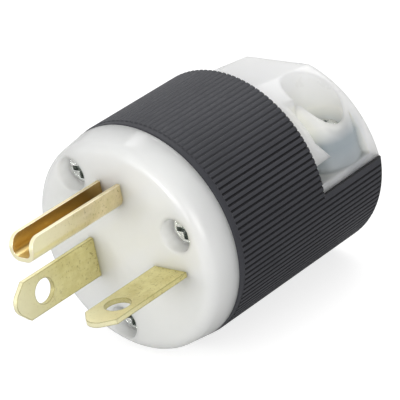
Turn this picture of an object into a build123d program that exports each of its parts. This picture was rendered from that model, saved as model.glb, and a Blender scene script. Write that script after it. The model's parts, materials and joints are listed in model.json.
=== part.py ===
from build123d import *
import os
from math import ceil, cos, degrees, hypot, radians, sin, sqrt

# Straight blade plug: two line blades at right angles and a folded ground pin, in a white face
# body that a ribbed shell holds from behind, with a saddle clamp for the cord.
# Millimetres. The plug's axis is Y: the blades point to -Y, the cord leaves to +Y, +Z is towards
# the ground pin, and the origin is the centre of the front face.

# Blades
blade_width = 6.35
blade_thick = 0.8
blade_length = 17.6
blade_tip_flat = 1.95
blade_tip_round = 2.2
blade_hole_d = 4.0
blade_hole_from_face = 11.7
blade_line_z = -2.2
vertical_blade_x = -6.35
horizontal_blade_x = 9.12
blade_shoulder = 0.5

# Ground pin, a channel that opens upwards on the place of a round pin of its width
ground_above_blades = 11.89
ground_width = 4.75
ground_height = 3.8
ground_wall = 0.7
ground_bend = 1.7
ground_length = 19.4
ground_nose_round = 1.9
ground_tab_width = 6.4

# Ribbed shell
shell_radius = 18.1
shell_wall = 2.1
lip_inset = 0.1
lip_length = 1.3
lip_bevel = 0.3
rib_count = 120
groove_depth = 0.2
partition_thick = 4.3
partition_opening_r = 9.5

# Face body, whose collar is nearly flush with the shell
face_plate = 5.0
nose_round = 2.0
collar_inset = 0.15
collar_draft = 0.75
collar_depth = 5.6
terminal_space = 14.0
slot_gap = 0.05
chamber_gap = 0.35
spigot_gap = 0.2

# Terminals behind the face
wire_gap = 1.5
wire_plate_thick = 1.1
wire_plate_width = 6.0
wire_plate_length = 6.4
terminal_screw_d = 3.5
terminal_head_d = 5.4
terminal_head_height = 1.7
terminal_screw_tail = 0.7
thread_gap = 0.03
hole_gap = 0.2

# Retainer behind the terminals
retainer_thick = 3.2
wire_hole_d = 3.2
wire_funnel_d = 5.0

# Assembly screws, through the face into the shell
assembly_angles = {"upper": 123.5, "side": 19.1, "lower": -104.7}
assembly_insets = {"upper": 4.45, "side": 5.7, "lower": 4.6}
assembly_screw_d = 2.6
assembly_head_d = 5.1
assembly_head_height = 1.7
assembly_recess = 2.1
assembly_bite = 3.4

# Half-round tail of the shell
tail_length = 14.8
tail_edge_z = -0.65
tail_band_height = 1.2
tail_wall = 2.5
tail_back_wall = 2.3
tail_rear_round = 0.8
cord_radius = 6.2
saddle_rib_thick = 1.6
saddle_rib_half_width = 9.0
saddle_rib_drop = 1.5
front_saddle_rib_from_ring = 4.0

# Cord clamp: a saddle with a flange at each end and a boss for a screw on each side of its jaw
clamp_inset = 0.6
clamp_flat_cut = 1.2
clamp_front_drop = 0.9
clamp_rear_drop = 2.7
clamp_front_gap = 0.2
clamp_front_flange = 2.5
clamp_rear_flange = 1.9
flange_bottom_z = 3.7
flange_foot_length = 1.7
flange_foot_height = 2.8
jaw_half_width = 10.8
clamp_ledge = 1.2
screw_boss_wall = 2.3
screw_boss_draft = 8.0
screw_seat_z = 4.2
pocket_gap = 0.5
pocket_draft = 5.0
ridge_height = 0.6
ridge_pitch = 2.4
ridge_width = 0.9
ridge_count = 4

# Clamp screws and their nuts
clamp_screw_inset = 7.0
clamp_screw_from_rear = 5.5
clamp_screw_d = 3.0
clamp_head_d = 6.4
clamp_head_height = 1.9
clamp_screw_tail = 2.2
nut_across_flats = 5.6
nut_thick = 2.4
nut_gap = 0.1
nut_below_edge = 0.6
nut_column_radius = 4.3
nut_column_floor = 0.6

# Recesses in the screw heads
recess_width = 0.8
recess_depth_share = 0.55
recess_length_share = 0.62
head_round_share = 0.45

REAR = (0, 1, 0)
UP = (0, 0, 1)

# Stations along the axis, from the face to the rear
spigot_end = face_plate + terminal_space
retainer_end = spigot_end + retainer_thick
ring_end = retainer_end + partition_thick
tail_end = ring_end + tail_length
ribs_start = collar_depth + lip_length
terminal_y = face_plate + terminal_space / 2
clamp_front = ring_end + clamp_front_gap
clamp_flange_end = clamp_front + clamp_front_flange
clamp_wall_front = tail_end - clamp_rear_flange
clamp_screw_y = tail_end - clamp_screw_from_rear

# Other sizes that follow
ground_floor = blade_line_z + ground_above_blades - ground_width / 2
ground_floor_top = ground_floor + ground_wall
shell_bore_radius = shell_radius - shell_wall
lip_radius = shell_radius - lip_inset
collar_radius = shell_radius - collar_inset
face_radius = collar_radius - collar_draft
clamp_radius = shell_radius - clamp_inset
clamp_screw_x = shell_radius - clamp_screw_inset
pocket_radius = clamp_head_d / 2 + pocket_gap
screw_boss_radius = pocket_radius + screw_boss_wall
ledge_top = tail_edge_z + clamp_ledge
spigot_radius = shell_bore_radius - spigot_gap
blade_tip_cut = (blade_width - blade_tip_flat) / 2
strip_width = blade_width + 2 * blade_shoulder
tail_inner_radius = shell_radius - tail_wall
groove_side = groove_depth * sqrt(2)
nut_top = tail_edge_z - nut_below_edge
assembly_seat = assembly_recess + assembly_head_height
assembly_points = {}
for side, angle in assembly_angles.items():
    circle_r = shell_radius - assembly_insets[side]
    assembly_points[side] = (circle_r * cos(radians(angle)), circle_r * sin(radians(angle)))
clamp_sides = {"right": 1, "left": -1}
screw_points = [(sign * clamp_screw_x, clamp_screw_y) for sign in clamp_sides.values()]


def across(y):
    """Plane across the plug at a distance y behind the face, with X to the right and Z up."""
    return Plane.XZ.offset(-y)


# Each terminal has a plane on its strip's outer face, with its normal pointing away from the strip
terminals = {
    "vertical": Plane((vertical_blade_x - blade_thick / 2, terminal_y, blade_line_z), REAR, (-1, 0, 0)),
    "horizontal": Plane((horizontal_blade_x, terminal_y, blade_line_z - blade_thick / 2), REAR, (0, 0, -1)),
    "ground": Plane((0, terminal_y, ground_floor_top), REAR, UP),
}
strip_thick = {"vertical": blade_thick, "horizontal": blade_thick, "ground": ground_wall}
strip_widths = {"vertical": strip_width, "horizontal": strip_width, "ground": ground_tab_width}
head_seat = wire_gap + wire_plate_thick
wire_centres = [plane.offset(wire_gap / 2).origin for plane in terminals.values()]
wire_points = [(centre.X, centre.Z) for centre in wire_centres]

os.makedirs("parts", exist_ok=True)


def channel_line(top_gap):
    """Middle line of the ground pin's folded wall, seen from the front."""
    half = (ground_width - ground_wall) / 2
    floor = ground_floor + ground_wall / 2
    top = ground_floor + ground_height + top_gap
    corners = [(-half, top), (-half, floor), (half, floor), (half, top)]
    return FilletPolyline(*corners, radius=ground_bend - ground_wall / 2)


def make_screw(name, seat, head_d, head_height, shank_d, shank_length):
    """Round-headed screw with a cross recess: its head is on the seat plane, its shank along +z."""
    with BuildPart() as screw:
        with BuildSketch(seat):
            Circle(shank_d / 2)
        extrude(amount=shank_length)
        with BuildSketch(seat):
            Circle(head_d / 2)
        extrude(amount=-head_height)
        head_top = screw.faces().sort_by(Axis(seat.origin, seat.z_dir))[0]
        fillet(head_top.edges(), head_height * head_round_share)
        with BuildSketch(seat.offset(-head_height)):
            Rectangle(head_d * recess_length_share, recess_width)
            Rectangle(recess_width, head_d * recess_length_share)
        extrude(amount=head_height * recess_depth_share, mode=Mode.SUBTRACT)
    screw.part.label = name
    export_step(screw.part, f"parts/{name}.step")


def make_line_blade(name, lower_face, terminal):
    """Flat brass blade with a cut, rounded tip, and a wider terminal strip behind the face."""
    with BuildPart() as blade:
        with BuildSketch(lower_face) as outline:
            with Locations(((face_plate - blade_length) / 2, 0)):
                Rectangle(blade_length + face_plate, blade_width)
            chamfer(outline.vertices().group_by(Axis.X)[0], blade_tip_cut)
            fillet(outline.vertices().group_by(Axis.X)[0], blade_tip_round)
            with Locations((face_plate + terminal_space / 2, 0)):
                Rectangle(terminal_space, strip_width)
            with Locations((-blade_hole_from_face, 0)):
                Circle(blade_hole_d / 2, mode=Mode.SUBTRACT)
        extrude(amount=blade_thick)
        with BuildSketch(terminal):
            Circle(terminal_screw_d / 2 + thread_gap)
        extrude(amount=-2 * blade_thick, mode=Mode.SUBTRACT)
    blade.part.label = name
    export_step(blade.part, f"parts/{name}.step")


# White face body: drafted collar in front, spigot with the terminal chambers behind
with BuildPart() as face_body:
    with BuildSketch() as half_section:
        with BuildLine():
            Polyline(
                (0, 0),
                (face_radius, 0),
                (collar_radius, collar_depth),
                (spigot_radius, collar_depth),
                (spigot_radius, spigot_end),
                (0, spigot_end),
                close=True,
            )
        make_face()
        fillet(half_section.vertices().group_by(Axis.Y)[0].sort_by(Axis.X)[-1], nose_round)
    revolve(axis=Axis.Y)
    with BuildSketch(across(0)):
        with Locations((vertical_blade_x, blade_line_z)):
            Rectangle(blade_thick + 2 * slot_gap, blade_width + 2 * slot_gap)
        with Locations((horizontal_blade_x, blade_line_z)):
            Rectangle(blade_width + 2 * slot_gap, blade_thick + 2 * slot_gap)
        with BuildLine():
            channel_line(slot_gap)
        trace(line_width=ground_wall + 2 * slot_gap)
    extrude(amount=face_plate, dir=REAR, mode=Mode.SUBTRACT)
    for name, plane in terminals.items():
        below = strip_thick[name] + terminal_screw_tail + chamber_gap
        above = head_seat + terminal_head_height + chamber_gap
        with BuildSketch(plane.offset(-below)):
            Rectangle(terminal_space, strip_widths[name] + 2 * chamber_gap)
        extrude(amount=below + above, mode=Mode.SUBTRACT)
        with BuildSketch(plane):
            Circle(terminal_head_d / 2 + chamber_gap)
        extrude(amount=shell_radius, mode=Mode.SUBTRACT)
    with BuildSketch(across(0)):
        with Locations(*assembly_points.values()):
            Circle(assembly_screw_d / 2 + hole_gap)
    extrude(amount=spigot_end, dir=REAR, mode=Mode.SUBTRACT)
    with BuildSketch(across(0)):
        with Locations(*assembly_points.values()):
            Circle(assembly_head_d / 2 + hole_gap)
    extrude(amount=assembly_seat, dir=REAR, mode=Mode.SUBTRACT)
face_body.part.label = "face_body"
export_step(face_body.part, "parts/face_body.step")

# Retainer: closes the chambers from behind and guides each wire under its plate
with BuildPart() as terminal_retainer:
    with BuildSketch(across(spigot_end)):
        Circle(spigot_radius)
        with Locations(*wire_points):
            Circle(wire_hole_d / 2, mode=Mode.SUBTRACT)
        with Locations(*assembly_points.values()):
            Circle(assembly_screw_d / 2 + hole_gap, mode=Mode.SUBTRACT)
    extrude(amount=retainer_thick, dir=REAR)
    for x, z in wire_points:
        with BuildSketch(across(retainer_end)):
            with Locations((x, z)):
                Circle(wire_funnel_d / 2)
        with BuildSketch(across(spigot_end + retainer_thick / 2)):
            with Locations((x, z)):
                Circle(wire_hole_d / 2)
        loft(mode=Mode.SUBTRACT)
terminal_retainer.part.label = "terminal_retainer"
export_step(terminal_retainer.part, "parts/terminal_retainer.step")

# Line blades
make_line_blade(
    "line_blade_vertical",
    Plane((vertical_blade_x - blade_thick / 2, 0, blade_line_z), REAR, (1, 0, 0)),
    terminals["vertical"],
)
make_line_blade(
    "line_blade_horizontal",
    Plane((horizontal_blade_x, 0, blade_line_z - blade_thick / 2), REAR, UP),
    terminals["horizontal"],
)

# Ground pin: folded channel with rounded wall ends, and a flat tab for its terminal
with BuildPart() as ground_pin:
    with BuildSketch(across(-ground_length)):
        with BuildLine():
            channel_line(0)
        trace(line_width=ground_wall)
    extrude(amount=ground_length + face_plate, dir=REAR)
    nose_edges = ground_pin.edges().filter_by(Axis.X).group_by(Axis.Z)[-1].group_by(Axis.Y)[0]
    fillet(nose_edges, ground_nose_round)
    with BuildSketch(across(face_plate)):
        with Locations((0, ground_floor_top - ground_wall / 2)):
            Rectangle(ground_tab_width, ground_wall)
    extrude(amount=terminal_space, dir=REAR)
    with BuildSketch(terminals["ground"]):
        Circle(terminal_screw_d / 2 + thread_gap)
    extrude(amount=-2 * ground_wall, mode=Mode.SUBTRACT)
ground_pin.part.label = "ground_pin"
export_step(ground_pin.part, "parts/ground_pin.step")

# Terminal screws and the plates that they press on the wires
for name, plane in terminals.items():
    seat = Plane(plane.offset(head_seat).origin, REAR, -plane.z_dir)
    shank = head_seat + strip_thick[name] + terminal_screw_tail
    make_screw(
        f"terminal_screw_{name}", seat, terminal_head_d, terminal_head_height, terminal_screw_d, shank
    )
    with BuildPart() as wire_plate:
        with BuildSketch(plane.offset(wire_gap)):
            Rectangle(wire_plate_length, wire_plate_width)
            Circle(terminal_screw_d / 2 + hole_gap, mode=Mode.SUBTRACT)
        extrude(amount=wire_plate_thick)
    wire_plate.part.label = f"wire_plate_{name}"
    export_step(wire_plate.part, f"parts/wire_plate_{name}.step")

# Hollow of the tail, with the columns under the clamp screws and two ribs under the cord left standing
with BuildPart() as tail_hollow:
    with BuildSketch(across(ring_end)):
        Circle(tail_inner_radius)
    extrude(amount=tail_length - tail_back_wall, dir=REAR)
    with BuildSketch(Plane.XY.offset(nut_top)):
        with Locations(*screw_points):
            Circle(nut_column_radius)
    extrude(amount=-shell_radius, mode=Mode.SUBTRACT)
    for rib_y in (ring_end + front_saddle_rib_from_ring, clamp_screw_y):
        with BuildSketch(across(rib_y - saddle_rib_thick / 2)):
            with Locations((0, tail_edge_z - saddle_rib_drop - shell_radius / 2)):
                Rectangle(2 * saddle_rib_half_width, shell_radius)
            with Locations((0, tail_edge_z)):
                Circle(cord_radius, mode=Mode.SUBTRACT)
        extrude(amount=saddle_rib_thick, dir=REAR, mode=Mode.SUBTRACT)

# Ribbed shell: bore for the face body in front, partition, then the half-round tail
with BuildPart() as grip_shell:
    with BuildSketch():
        with BuildLine():
            Polyline(
                (shell_bore_radius, collar_depth),
                (lip_radius - lip_bevel, collar_depth),
                (lip_radius, collar_depth + lip_bevel),
                (lip_radius, ribs_start),
                (shell_radius, ribs_start),
                (shell_radius, tail_end),
                (0, tail_end),
                (0, retainer_end),
                (shell_bore_radius, retainer_end),
                close=True,
            )
        make_face()
    revolve(axis=Axis.Y)
    fillet(grip_shell.faces().sort_by(Axis.Y)[-1].edges(), tail_rear_round)
    with BuildSketch(across(ring_end)):
        with Locations((0, tail_edge_z + shell_radius)):
            Rectangle(4 * shell_radius, 2 * shell_radius)
    extrude(amount=tail_length, dir=REAR, mode=Mode.SUBTRACT)
    add(tail_hollow.part, mode=Mode.SUBTRACT)
    with BuildSketch(across(tail_end)):
        with Locations((0, tail_edge_z)):
            Circle(cord_radius)
    extrude(amount=-tail_back_wall, dir=REAR, mode=Mode.SUBTRACT)
    with BuildSketch(across(retainer_end)):
        Circle(partition_opening_r)
        with Locations(*wire_points):
            Circle(wire_funnel_d / 2)
    extrude(amount=partition_thick, dir=REAR, mode=Mode.SUBTRACT)
    with BuildSketch(across(retainer_end)):
        with Locations(*assembly_points.values()):
            Circle(assembly_screw_d / 2 + thread_gap)
    extrude(amount=assembly_bite, dir=REAR, mode=Mode.SUBTRACT)
    with BuildSketch(Plane.XY.offset(nut_top)):
        with Locations(*screw_points):
            RegularPolygon(nut_across_flats / 2 + nut_gap, 6, major_radius=False)
    extrude(amount=-nut_thick, mode=Mode.SUBTRACT)
    with BuildSketch(Plane.XY.offset(nut_top)):
        with Locations(*screw_points):
            Circle(clamp_screw_d / 2 + hole_gap)
    extrude(amount=-(nut_thick + clamp_screw_tail + nut_column_floor), mode=Mode.SUBTRACT)
    # V grooves between the ribs: the lower ones run on along the tail, under a plain band at its edge
    pitch = 360 / rib_count
    band_angle = degrees((tail_band_height - tail_edge_z) / shell_radius)
    first_lower = ceil(band_angle / pitch) * pitch
    lower_range = 180 - 2 * first_lower
    lower_count = round(lower_range / pitch) + 1
    with BuildSketch(across(ribs_start)):
        with PolarLocations(shell_radius, lower_count, 180 + first_lower, lower_range, endpoint=True):
            Rectangle(groove_side, groove_side, rotation=45)
    extrude(amount=tail_end - ribs_start, dir=REAR, mode=Mode.SUBTRACT)
    upper_count = rib_count - lower_count
    upper_start = pitch - first_lower
    upper_range = (upper_count - 1) * pitch
    with BuildSketch(across(ribs_start)):
        with PolarLocations(shell_radius, upper_count, upper_start, upper_range, endpoint=True):
            Rectangle(groove_side, groove_side, rotation=45)
    extrude(amount=ring_end - ribs_start, dir=REAR, mode=Mode.SUBTRACT)
grip_shell.part.label = "grip_shell"
export_step(grip_shell.part, "parts/grip_shell.step")

# Spaces beside the clamp's jaw, between its flanges, with the screw bosses left standing
with BuildPart() as jaw_sides:
    with BuildSketch(Plane.YZ.offset(jaw_half_width)):
        with BuildLine():
            Polyline(
                (ring_end, ledge_top),
                (clamp_wall_front, ledge_top),
                (clamp_wall_front, clamp_radius),
                (clamp_flange_end, clamp_radius),
                (clamp_flange_end, flange_bottom_z + flange_foot_height),
                (clamp_flange_end + flange_foot_length, flange_bottom_z),
                (ring_end, flange_bottom_z),
                close=True,
            )
        make_face()
    extrude(amount=clamp_radius)
    mirror(about=Plane.YZ)
    with BuildSketch(Plane.XY.offset(tail_edge_z)):
        with Locations(*screw_points):
            Circle(screw_boss_radius)
    extrude(amount=clamp_radius, taper=screw_boss_draft, mode=Mode.SUBTRACT)

# Cord clamp: a saddle whose back slopes down to the rear
with BuildPart() as cord_clamp:
    run = tail_end - clamp_front
    slope = clamp_rear_drop - clamp_front_drop
    with BuildSketch(across(clamp_front)):
        with Locations((0, -clamp_front_drop)):
            Circle(clamp_radius)
        with Locations((0, 2 * clamp_radius - clamp_flat_cut - clamp_front_drop)):
            Rectangle(4 * clamp_radius, 2 * clamp_radius, mode=Mode.SUBTRACT)
        with Locations((0, tail_edge_z - clamp_radius)):
            Rectangle(4 * clamp_radius, 2 * clamp_radius, mode=Mode.SUBTRACT)
    extrude(amount=hypot(run, slope), dir=(0, run, -slope))
    with BuildSketch(Plane.XY.offset(tail_edge_z)):
        with Locations((0, (clamp_front + tail_end) / 2)):
            Rectangle(4 * clamp_radius, 2 * run)
    extrude(amount=-clamp_radius, mode=Mode.SUBTRACT)
    add(jaw_sides.part, mode=Mode.SUBTRACT)
    with BuildSketch(Plane.XY.offset(screw_seat_z)):
        with Locations(*screw_points):
            Circle(pocket_radius)
    extrude(amount=clamp_radius, taper=-pocket_draft, mode=Mode.SUBTRACT)
    with BuildSketch(Plane.XY.offset(tail_edge_z)):
        with Locations(*screw_points):
            Circle(clamp_screw_d / 2 + hole_gap)
    extrude(amount=screw_seat_z - tail_edge_z, mode=Mode.SUBTRACT)
    with BuildSketch(across(clamp_front)):
        with Locations((0, tail_edge_z)):
            Circle(cord_radius)
    extrude(amount=run, dir=REAR, mode=Mode.SUBTRACT)
    for number in range(ridge_count):
        with BuildSketch(across(clamp_front + ridge_width + number * ridge_pitch)):
            with Locations((0, tail_edge_z)):
                Circle(cord_radius + ridge_height)
        extrude(amount=ridge_pitch - ridge_width, dir=REAR, mode=Mode.SUBTRACT)
cord_clamp.part.label = "cord_clamp"
export_step(cord_clamp.part, "parts/cord_clamp.step")

# Clamp screws, and the nuts held in the tail
for side, sign in clamp_sides.items():
    seat = Plane((sign * clamp_screw_x, clamp_screw_y, screw_seat_z), (1, 0, 0), (0, 0, -1))
    shank = screw_seat_z - nut_top + nut_thick + clamp_screw_tail
    make_screw(f"clamp_screw_{side}", seat, clamp_head_d, clamp_head_height, clamp_screw_d, shank)
    with BuildPart() as clamp_nut:
        with BuildSketch(Plane.XY.offset(nut_top)):
            with Locations((sign * clamp_screw_x, clamp_screw_y)):
                RegularPolygon(nut_across_flats / 2, 6, major_radius=False)
                Circle(clamp_screw_d / 2 + thread_gap, mode=Mode.SUBTRACT)
        extrude(amount=-nut_thick)
    clamp_nut.part.label = f"clamp_nut_{side}"
    export_step(clamp_nut.part, f"parts/clamp_nut_{side}.step")

# Assembly screws
for side, (x, z) in assembly_points.items():
    seat = Plane((x, assembly_seat, z), (1, 0, 0), REAR)
    shank = retainer_end + assembly_bite - thread_gap - assembly_seat
    make_screw(
        f"assembly_screw_{side}", seat, assembly_head_d, assembly_head_height, assembly_screw_d, shank
    )
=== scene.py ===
import json
import math
import bmesh
import bpy
from mathutils import Matrix, Vector


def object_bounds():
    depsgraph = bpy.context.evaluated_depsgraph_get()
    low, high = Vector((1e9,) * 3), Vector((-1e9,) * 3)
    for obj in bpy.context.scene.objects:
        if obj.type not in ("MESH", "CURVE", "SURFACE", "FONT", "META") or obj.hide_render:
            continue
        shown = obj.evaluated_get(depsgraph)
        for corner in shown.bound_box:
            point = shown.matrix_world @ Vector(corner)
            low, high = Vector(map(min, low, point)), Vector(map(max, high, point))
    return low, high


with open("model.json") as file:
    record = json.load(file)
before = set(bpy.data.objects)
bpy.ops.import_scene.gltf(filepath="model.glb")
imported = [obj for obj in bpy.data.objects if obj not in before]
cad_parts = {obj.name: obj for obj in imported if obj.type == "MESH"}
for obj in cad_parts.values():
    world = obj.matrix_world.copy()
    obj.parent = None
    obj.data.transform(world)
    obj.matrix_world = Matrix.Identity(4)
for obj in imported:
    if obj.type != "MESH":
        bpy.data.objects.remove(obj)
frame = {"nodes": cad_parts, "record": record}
cad_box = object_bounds()
nodes = frame["nodes"]
scene = bpy.context.scene

# Sizes and places on the plug, in metres
MM = 0.001
blade_tip_y = -19 * MM
face_y = 0.0
blades_top_z = 4 * MM
pin_bottom_z = 5 * MM
clamp_shade_top_z = 5 * MM
clamp_shade_bottom_z = 0.0
screw_shade_core = 5.4 * MM
screw_shade_rim = 7 * MM
screw_shade_top_z = 7.6 * MM
screw_shade_full_z = 4.6 * MM

# Where most of a noise texture's values lie
noise_span = (0.3, 0.7)


# Node helpers

def set_values(node, values):
    """Set a node's properties by name, or its inputs by their labels."""
    for name, value in values.items():
        if hasattr(node, name):
            setattr(node, name, value)
        else:
            node.inputs[name.replace("_", " ")].default_value = value


def add_node(tree, kind, **values):
    """New node of this kind with these values."""
    node = tree.nodes.new(kind)
    set_values(node, values)
    return node


def feed(tree, slot, value):
    """Link a socket to an input, or set the input to a plain value."""
    if isinstance(value, bpy.types.NodeSocket):
        tree.links.new(value, slot)
    else:
        slot.default_value = value


def math_node(tree, operation, *values):
    """Math node on one or two values, each a socket or a number."""
    node = add_node(tree, "ShaderNodeMath", operation=operation)
    for slot, value in zip(node.inputs, values):
        feed(tree, slot, value)
    return node.outputs["Value"]


def vector_node(tree, operation, *vectors):
    """Outputs of a Vector Math node on one or two vectors, each a socket or three numbers."""
    node = add_node(tree, "ShaderNodeVectorMath", operation=operation)
    for slot, vector in zip(node.inputs, vectors):
        feed(tree, slot, vector)
    return node.outputs


def split_axes(tree, vector):
    """X, Y and Z of a vector socket."""
    node = add_node(tree, "ShaderNodeSeparateXYZ")
    tree.links.new(vector, node.inputs["Vector"])
    return node.outputs


def object_place(tree):
    """Object coordinates, which are the frame's own on every piece."""
    return add_node(tree, "ShaderNodeTexCoord").outputs["Object"]


def range_node(tree, value, span, to=(0, 1)):
    """Map a value from a span to another one, held at both ends."""
    node = add_node(tree, "ShaderNodeMapRange")
    for label, number in zip(("From Min", "From Max", "To Min", "To Max"), (*span, *to)):
        node.inputs[label].default_value = number
    tree.links.new(value, node.inputs["Value"])
    return node.outputs["Result"]


def mix_colour(tree, factor, first, second, strength=1.0):
    """Mix two colours, each a socket or RGB, by a factor socket at this strength."""
    if strength < 1:
        factor = math_node(tree, "MULTIPLY", factor, strength)
    node = add_node(tree, "ShaderNodeMix", data_type="RGBA")
    tree.links.new(factor, node.inputs["Factor"])
    for label, colour in (("A", first), ("B", second)):
        plain = isinstance(colour, tuple)
        feed(tree, node.inputs[label], (*colour, 1) if plain else colour)
    return node.outputs["Result"]


def new_group(name, inputs, outputs):
    """Shader node group with named number inputs and number outputs, and its two end nodes."""
    tree = bpy.data.node_groups.new(name, "ShaderNodeTree")
    for label, default in inputs.items():
        socket = tree.interface.new_socket(label, in_out="INPUT", socket_type="NodeSocketFloat")
        socket.default_value = default
    for label in outputs:
        tree.interface.new_socket(label, in_out="OUTPUT", socket_type="NodeSocketFloat")
    return tree, tree.nodes.new("NodeGroupInput"), tree.nodes.new("NodeGroupOutput")


# Shared effects

def make_moulded_skin():
    """Cloudy colour of a moulding, and the fine texture that its mould leaves."""
    tree, inside, outside = new_group(
        "moulded_skin", {"Cloud Scale": 90.0, "Grain Scale": 2500.0}, ["Cloud", "Grain"]
    )
    place = object_place(tree)
    cloud = add_node(tree, "ShaderNodeTexNoise", Detail=4.0, Roughness=0.6)
    grain = add_node(tree, "ShaderNodeTexNoise", Detail=2.0, Roughness=0.5)
    for noise, label in ((cloud, "Cloud Scale"), (grain, "Grain Scale")):
        tree.links.new(place, noise.inputs["Vector"])
        tree.links.new(inside.outputs[label], noise.inputs["Scale"])
    tree.links.new(range_node(tree, cloud.outputs["Fac"], noise_span), outside.inputs["Cloud"])
    tree.links.new(grain.outputs["Fac"], outside.inputs["Grain"])
    return tree


def make_rolled_metal():
    """Streaks along the plug's axis from rolling or drawing, and a patchy dulling."""
    tree, inside, outside = new_group(
        "rolled_metal", {"Streak Scale": 900.0, "Patch Scale": 160.0}, ["Streaks", "Patches"]
    )
    streak_stretch = (1, 0.04, 1)
    patch_span = (0.35, 0.7)
    place = object_place(tree)
    stretched = add_node(tree, "ShaderNodeMapping", Scale=streak_stretch)
    streaks = add_node(tree, "ShaderNodeTexNoise", Detail=3.0, Roughness=0.6)
    patches = add_node(tree, "ShaderNodeTexNoise", Detail=5.0, Roughness=0.65)
    tree.links.new(place, stretched.inputs["Vector"])
    tree.links.new(stretched.outputs["Vector"], streaks.inputs["Vector"])
    tree.links.new(place, patches.inputs["Vector"])
    tree.links.new(inside.outputs["Streak Scale"], streaks.inputs["Scale"])
    tree.links.new(inside.outputs["Patch Scale"], patches.inputs["Scale"])
    tree.links.new(range_node(tree, streaks.outputs["Fac"], noise_span), outside.inputs["Streaks"])
    tree.links.new(range_node(tree, patches.outputs["Fac"], patch_span), outside.inputs["Patches"])
    return tree


def make_edge_wear_and_light():
    """Mask of the edges that hands and sockets rub, for wear and for painted highlight and shade: one
    on the edge, nought on the flats.
    """
    tree, inside, outside = new_group("edge_wear_and_light", {"Width": 0.2 * MM}, ["Edge"])
    flat_to_edge = (0.995, 0.9)
    rounded = add_node(tree, "ShaderNodeBevel", samples=6)
    surface = add_node(tree, "ShaderNodeNewGeometry")
    tree.links.new(inside.outputs["Width"], rounded.inputs["Radius"])
    normals = rounded.outputs["Normal"], surface.outputs["Normal"]
    turn = vector_node(tree, "DOT_PRODUCT", *normals)["Value"]
    tree.links.new(range_node(tree, turn, flat_to_edge), outside.inputs["Edge"])
    return tree


def make_hollows():
    """Ambient-occlusion mask of the hollows narrower than the reach, for painted shade and painted
    light in them: one where they close in, nought in the open.
    """
    tree, inside, outside = new_group(
        "hollows", {"Reach": 4 * MM, "Open": 0.95, "Closed": 0.5}, ["Hollow"]
    )
    near = add_node(tree, "ShaderNodeAmbientOcclusion", samples=8, only_local=True)
    mask = add_node(tree, "ShaderNodeMapRange", To_Min=1.0, To_Max=0.0)
    tree.links.new(inside.outputs["Reach"], near.inputs["Distance"])
    tree.links.new(near.outputs["AO"], mask.inputs["Value"])
    tree.links.new(inside.outputs["Closed"], mask.inputs["From Min"])
    tree.links.new(inside.outputs["Open"], mask.inputs["From Max"])
    tree.links.new(mask.outputs["Result"], outside.inputs["Hollow"])
    return tree


moulded_skin = make_moulded_skin()
rolled_metal = make_rolled_metal()
edge_wear_and_light = make_edge_wear_and_light()
hollows = make_hollows()


def place_group(tree, group, **values):
    """Outputs of a shared effect, placed in a material with its own values."""
    return add_node(tree, "ShaderNodeGroup", node_tree=group, **values).outputs


# Parts of a material

def new_material(name, **values):
    """Material with one Principled shader, its plain values set on the shader's own sockets."""
    material = bpy.data.materials.new(name)
    material.use_nodes = True
    tree = material.node_tree
    shader = tree.nodes["Principled BSDF"]
    set_values(shader, values)
    return material, tree, shader


def set_surface(tree, shader, colour, roughness):
    """Colour and roughness sockets linked to the shader."""
    tree.links.new(colour, shader.inputs["Base Color"])
    tree.links.new(roughness, shader.inputs["Roughness"])


def set_bump(tree, shader, height, strength, edge_radius, depth=0.1 * MM):
    """Bump from a height socket, over edges that are softly rounded to this radius."""
    rounded = add_node(tree, "ShaderNodeBevel", samples=6, Radius=edge_radius)
    bump = add_node(tree, "ShaderNodeBump", Strength=strength, Distance=depth)
    tree.links.new(height, bump.inputs["Height"])
    tree.links.new(rounded.outputs["Normal"], bump.inputs["Normal"])
    tree.links.new(bump.outputs["Normal"], shader.inputs["Normal"])


def along(tree, axis, start, end):
    """Nought at the start and one at the end of a stretch along an axis of the frame."""
    return range_node(tree, split_axes(tree, object_place(tree))[axis], (start, end))


def near_clamp_screws(tree):
    """Mask for painted shade along the shanks of the two clamp screws: one there, fading to nought
    outside their bosses.
    """
    corners = [Vector(corner) for corner in nodes["clamp_screw_right"].bound_box]
    screw = sum(corners, Vector()) / len(corners)
    place = split_axes(tree, object_place(tree))
    either_side = math_node(tree, "ABSOLUTE", place["X"])
    sideways = math_node(tree, "SUBTRACT", either_side, screw.x)
    lengthways = math_node(tree, "SUBTRACT", place["Y"], screw.y)
    squares = [math_node(tree, "MULTIPLY", value, value) for value in (sideways, lengthways)]
    distance = math_node(tree, "SQRT", math_node(tree, "ADD", *squares))
    beside = range_node(tree, distance, (screw_shade_rim, screw_shade_core))
    below = range_node(tree, place["Z"], (screw_shade_top_z, screw_shade_full_z))
    return math_node(tree, "MULTIPLY", beside, below)


def groove_walls(tree):
    """Masks for painted shade on the shell's groove walls, which lean from its radius, and how near
    the top they lie.
    """
    rib_to_wall = (0.95, 0.8)
    end_to_side = (0.2, 0.05)
    side_to_top = (0.5, 0.95)
    normal = add_node(tree, "ShaderNodeNewGeometry").outputs["True Normal"]
    from_axis = vector_node(tree, "MULTIPLY", object_place(tree), (1, 0, 1))["Vector"]
    radius = vector_node(tree, "NORMALIZE", from_axis)["Vector"]
    lean = math_node(tree, "ABSOLUTE", vector_node(tree, "DOT_PRODUCT", radius, normal)["Value"])
    endways = math_node(tree, "ABSOLUTE", split_axes(tree, normal)["Y"])
    leaning = range_node(tree, lean, rib_to_wall)
    on_side = range_node(tree, endways, end_to_side)
    near_top = range_node(tree, split_axes(tree, radius)["Z"], side_to_top)
    return math_node(tree, "MULTIPLY", leaning, on_side), near_top


# Materials

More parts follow.
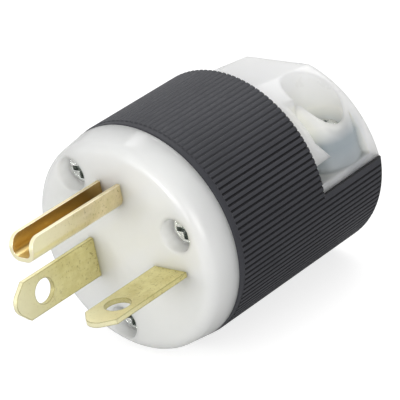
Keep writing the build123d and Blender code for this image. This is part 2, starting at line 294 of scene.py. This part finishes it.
def white_nylon():
    """Glossy white nylon of the face body and the retainer."""
    material, tree, shader = new_material(
        "white_nylon",
        IOR=1.53,
        Subsurface_Weight=0.7,
        Subsurface_Radius=(1.0, 1.0, 0.98),
        Subsurface_Scale=15 * MM,
    )
    dull_white = (0.885, 0.905, 0.88)
    clear_white = (0.915, 0.93, 0.91)
    hollow_light_white = (0.99, 0.99, 0.985)
    skin = place_group(tree, moulded_skin, Cloud_Scale=110.0, Grain_Scale=1800.0)
    hollow = place_group(tree, hollows, Reach=4 * MM, Open=0.95, Closed=0.5)["Hollow"]
    white = mix_colour(tree, skin["Cloud"], dull_white, clear_white)
    # Painted light: the hollows, such as the screw recesses, turn whiter.
    colour = mix_colour(tree, hollow, white, hollow_light_white)
    roughness = range_node(tree, skin["Cloud"], (0, 1), to=(0.12, 0.18))
    set_surface(tree, shader, colour, roughness)
    set_bump(tree, shader, skin["Grain"], strength=0.05, edge_radius=0.9 * MM)
    return material


def charcoal_nylon():
    """Satin charcoal nylon of the shell: rib edges paler with rubbing and a painted highlight, groove
    walls darkened with painted shade, and the upper grooves paler with painted light.
    """
    material, tree, shader = new_material("charcoal_nylon", IOR=1.5, Specular_IOR_Level=0.18)
    dark_charcoal = (0.041, 0.042, 0.049)
    pale_charcoal = (0.052, 0.053, 0.062)
    rubbed_lit_edge = (0.12, 0.122, 0.13)
    groove_shade = (0.006, 0.006, 0.008)
    groove_top_light = (0.08, 0.082, 0.091)
    skin = place_group(tree, moulded_skin, Cloud_Scale=140.0, Grain_Scale=3200.0)
    edge = place_group(tree, edge_wear_and_light, Width=0.12 * MM)["Edge"]
    wall, near_top = groove_walls(tree)
    cloud = mix_colour(tree, skin["Cloud"], dark_charcoal, pale_charcoal)
    # Rib edges paler: rubbed wear, and a painted highlight along them.
    worn_and_lit = mix_colour(tree, edge, cloud, rubbed_lit_edge, strength=0.6)
    # Painted light: the groove walls grow paler towards the top, standing in for the broad highlight
    # that evens out the grooves there.
    groove = mix_colour(tree, near_top, groove_shade, groove_top_light)
    # Painted shade: the groove walls are darkened.
    colour = mix_colour(tree, wall, worn_and_lit, groove)
    roughness = range_node(tree, skin["Grain"], noise_span, to=(0.46, 0.64))
    set_surface(tree, shader, colour, roughness)
    set_bump(tree, shader, skin["Grain"], strength=0.12, edge_radius=0.3 * MM)
    return material


def translucent_nylon():
    """Milky nylon of the cord clamp, with painted shade low down and along the screws, where the
    shell and the screws would show darkly through it.
    """
    material, tree, shader = new_material(
        "translucent_nylon",
        IOR=1.45,
        Subsurface_Weight=0.75,
        Subsurface_Radius=(1.0, 0.98, 0.9),
        Subsurface_Scale=20 * MM,
    )
    dull_milk = (0.95, 0.95, 0.92)
    clear_milk = (0.975, 0.975, 0.96)
    hollow_glow_milk = (0.995, 0.985, 0.84)
    shell_shade = (0.62, 0.64, 0.63)
    screw_shade = (0.33, 0.39, 0.43)
    skin = place_group(tree, moulded_skin, Cloud_Scale=130.0, Grain_Scale=1500.0)
    hollow = place_group(tree, hollows, Reach=8 * MM, Open=0.8, Closed=0.3)["Hollow"]
    shell_below = along(tree, "Z", clamp_shade_top_z, clamp_shade_bottom_z)
    milk = mix_colour(tree, skin["Cloud"], dull_milk, clear_milk)
    # Painted light: the hollows, such as the screw pockets, turn pale and warm.
    warm = mix_colour(tree, hollow, milk, hollow_glow_milk)
    # Painted shade: darker towards the bottom and along the clamp screws.
    shaded = mix_colour(tree, shell_below, warm, shell_shade, strength=0.35)
    colour = mix_colour(tree, near_clamp_screws(tree), shaded, screw_shade, strength=0.95)
    roughness = range_node(tree, skin["Cloud"], (0, 1), to=(0.25, 0.4))
    set_surface(tree, shader, colour, roughness)
    set_bump(tree, shader, skin["Grain"], strength=0.08, edge_radius=1.2 * MM)
    return material


def blade_brass():
    """Satin brass, speckled near the face, with painted light: pale at the tips, a painted highlight
    on the pin edges, and painted shade on the blade edges and in the hollows.
    """
    material, tree, shader = new_material("blade_brass", Metallic=1.0)
    blade_streaks = (0.81, 0.74, 0.36), (0.87, 0.81, 0.43)
    pin_streaks = (0.82, 0.7, 0.44), (0.88, 0.77, 0.52)
    tarnish = (0.6, 0.52, 0.2)
    tip_light = (1.0, 0.95, 0.64)
    dark_speck = (0.4, 0.33, 0.13)
    blade_edge_shade, pin_edge_highlight = (0.36, 0.31, 0.1), (1.0, 0.9, 0.74)
    blade_hollow_shade, pin_hollow_shade = (0.3, 0.26, 0.08), (0.56, 0.41, 0.16)
    middle_to_tip = (0.6, 0.1)
    speck_span = (0.7, 0.9)
    metal = place_group(tree, rolled_metal, Streak_Scale=1400.0, Patch_Scale=420.0)
    specks = place_group(tree, moulded_skin, Cloud_Scale=2600.0, Grain_Scale=5000.0)["Cloud"]
    edge = place_group(tree, edge_wear_and_light, Width=0.3 * MM)["Edge"]
    hollow = place_group(tree, hollows, Reach=5 * MM, Open=0.97, Closed=0.6)["Hollow"]
    to_face = along(tree, "Y", blade_tip_y, face_y)
    on_pin = along(tree, "Z", blades_top_z, pin_bottom_z)
    blade = mix_colour(tree, metal["Streaks"], *blade_streaks)
    pin = mix_colour(tree, metal["Streaks"], *pin_streaks)
    body = mix_colour(tree, on_pin, blade, pin)
    dulled = mix_colour(tree, metal["Patches"], body, tarnish, strength=0.55)
    # Painted light: paler towards the tips, duller towards the face.
    at_tip = range_node(tree, to_face, middle_to_tip)
    tipped = mix_colour(tree, at_tip, dulled, tip_light, strength=0.95)
    speck = math_node(tree, "MULTIPLY", range_node(tree, specks, speck_span), to_face)
    speckled = mix_colour(tree, speck, tipped, dark_speck, strength=0.8)
    # Painted shade along the blade edges, and a painted highlight along the ground pin's edges.
    rim = mix_colour(tree, on_pin, blade_edge_shade, pin_edge_highlight)
    edged = mix_colour(tree, edge, speckled, rim, strength=0.8)
    # Painted shade: the hollows, such as the ground pin's channel, are darkened.
    shade = mix_colour(tree, on_pin, blade_hollow_shade, pin_hollow_shade)
    colour = mix_colour(tree, hollow, edged, shade)
    roughness = range_node(tree, metal["Patches"], (0, 1), to=(0.28, 0.42))
    set_surface(tree, shader, colour, roughness)
    set_bump(tree, shader, specks, strength=0.06, edge_radius=0.1 * MM, depth=0.04 * MM)
    return material


def zinc_steel():
    """Bright zinc plate on the steel screws and nuts."""
    material, tree, shader = new_material("zinc_steel", Metallic=1.0)
    dull_zinc = (0.5, 0.52, 0.5)
    bright_zinc = (0.9, 0.91, 0.9)
    hollow_shade_zinc = (0.28, 0.31, 0.28)
    patches = place_group(tree, rolled_metal, Streak_Scale=1500.0, Patch_Scale=1600.0)["Patches"]
    hollow = place_group(tree, hollows, Reach=1 * MM, Open=0.7, Closed=0.2)["Hollow"]
    plate = mix_colour(tree, patches, dull_zinc, bright_zinc)
    # Painted shade: the drive recesses are darkened.
    colour = mix_colour(tree, hollow, plate, hollow_shade_zinc)
    roughness = range_node(tree, patches, (0, 1), to=(0.12, 0.26))
    set_surface(tree, shader, colour, roughness)
    set_bump(tree, shader, patches, strength=0.8, edge_radius=0.1 * MM)
    return material


def green_plate():
    """Green plate on the ground terminal's screw."""
    material, tree, shader = new_material("green_plate", Metallic=0.6)
    dark_green = (0.05, 0.2, 0.07)
    pale_green = (0.09, 0.3, 0.12)
    patches = place_group(tree, rolled_metal, Streak_Scale=1500.0, Patch_Scale=700.0)["Patches"]
    colour = mix_colour(tree, patches, dark_green, pale_green)
    roughness = range_node(tree, patches, (0, 1), to=(0.28, 0.42))
    set_surface(tree, shader, colour, roughness)
    set_bump(tree, shader, patches, strength=0.08, edge_radius=0.1 * MM, depth=0.05 * MM)
    return material


finishes = {
    "white_nylon": white_nylon(),
    "charcoal_nylon": charcoal_nylon(),
    "translucent_nylon": translucent_nylon(),
    "blade_brass": blade_brass(),
    "zinc_steel": zinc_steel(),
    "green_screw": green_plate(),
}
for part in frame["record"]["subparts"]:
    mesh = nodes[part["node"]].data
    mesh.materials.clear()
    mesh.materials.append(finishes[part["material_slot"]])


# Floor, light and camera

def pale_floor():
    """Pale floor finish, white to the camera where no shadow falls and less bright in reflections."""
    material, tree, shader = new_material(
        "pale_floor",
        Base_Color=(0.5, 0.5, 0.5, 1),
        Roughness=0.9,
        Specular_IOR_Level=0.0,
        Emission_Color=(1, 1, 1, 1),
    )
    camera_glow = 0.75
    reflected_glow = 0.32
    path = add_node(tree, "ShaderNodeLightPath")
    to_camera = math_node(tree, "MULTIPLY", path.outputs["Is Camera Ray"], camera_glow)
    in_gloss = math_node(tree, "MULTIPLY", path.outputs["Is Glossy Ray"], reflected_glow)
    tree.links.new(math_node(tree, "ADD", to_camera, in_gloss), shader.inputs["Emission Strength"])
    return material


def make_floor():
    """Wide floor just under the plug."""
    half_width = 3.0
    gap = 0.2 * MM
    bm = bmesh.new()
    bmesh.ops.create_grid(bm, x_segments=1, y_segments=1, size=half_width)
    bmesh.ops.translate(bm, verts=bm.verts, vec=(0, 0, cad_box[0].z - gap))
    mesh = bpy.data.meshes.new("floor")
    bm.to_mesh(mesh)
    bm.free()
    mesh.materials.append(pale_floor())
    floor = bpy.data.objects.new("floor", mesh)
    scene.collection.objects.link(floor)


def add_softbox(name, direction, distance, size, watts):
    """Square soft light that faces the frame's origin from this direction."""
    lamp = bpy.data.lights.new(name, "AREA")
    lamp.size = size
    lamp.energy = watts
    holder = bpy.data.objects.new(name, lamp)
    way = Vector(direction).normalized()
    turn = way.to_track_quat("Z", "Y").to_matrix().to_4x4()
    holder.matrix_world = Matrix.Translation(way * distance) @ turn
    scene.collection.objects.link(holder)


def make_world():
    """White background to the camera and in reflections, and a soft grey fill for the rest."""
    fill = 0.48
    white = 1.0
    world = bpy.data.worlds.new("studio")
    world.use_nodes = True
    tree = world.node_tree
    scene.world = world
    sky = tree.nodes["Background"]
    sky.inputs["Color"].default_value = (1, 1, 1, 1)
    rays = add_node(tree, "ShaderNodeLightPath").outputs
    seen = math_node(tree, "MAXIMUM", rays["Is Camera Ray"], rays["Is Transmission Ray"])
    seen = math_node(tree, "MAXIMUM", seen, rays["Is Glossy Ray"])
    tree.links.new(range_node(tree, seen, (0, 1), to=(fill, white)), sky.inputs["Strength"])


def make_camera():
    """Camera at the photograph's angle, for a square picture; its angles are written in degrees."""
    azimuth, elevation, roll = (math.radians(angle) for angle in (45.336, 23.302, -11.831))
    distance, across, above = 400 * MM, 11.594 * MM, 7.419 * MM
    back = Vector((
        math.sin(azimuth) * math.cos(elevation),
        -math.cos(azimuth) * math.cos(elevation),
        math.sin(elevation),
    ))
    level = Vector((math.cos(azimuth), math.sin(azimuth), 0))
    raised = back.cross(level)
    right = math.cos(roll) * level + math.sin(roll) * raised
    up = back.cross(right)
    lens = bpy.data.cameras.new("camera")
    lens.sensor_width = 36
    lens.lens = 240.33
    lens.clip_start = 10 * MM
    camera = bpy.data.objects.new("camera", lens)
    turn = Matrix((right, up, back)).transposed().to_4x4()
    camera.matrix_world = Matrix.Translation(right * across + up * above + back * distance) @ turn
    scene.collection.objects.link(camera)
    scene.camera = camera


make_floor()
add_softbox("front", direction=(-0.1, -1.0, 0.05), distance=0.6, size=0.5, watts=1.95)
add_softbox("strip", direction=(-0.22, -0.97, 0.07), distance=0.5, size=0.05, watts=0.3)
add_softbox("side", direction=(1.0, -0.5, 0.1), distance=0.6, size=0.4, watts=1.85)
add_softbox("top", direction=(0.3, 0.4, 1.0), distance=0.6, size=0.4, watts=0.3)
add_softbox("back", direction=(-0.2, 0.8, 0.7), distance=0.6, size=0.4, watts=1.2)
make_world()
make_camera()
scene.view_settings.view_transform = "Standard"
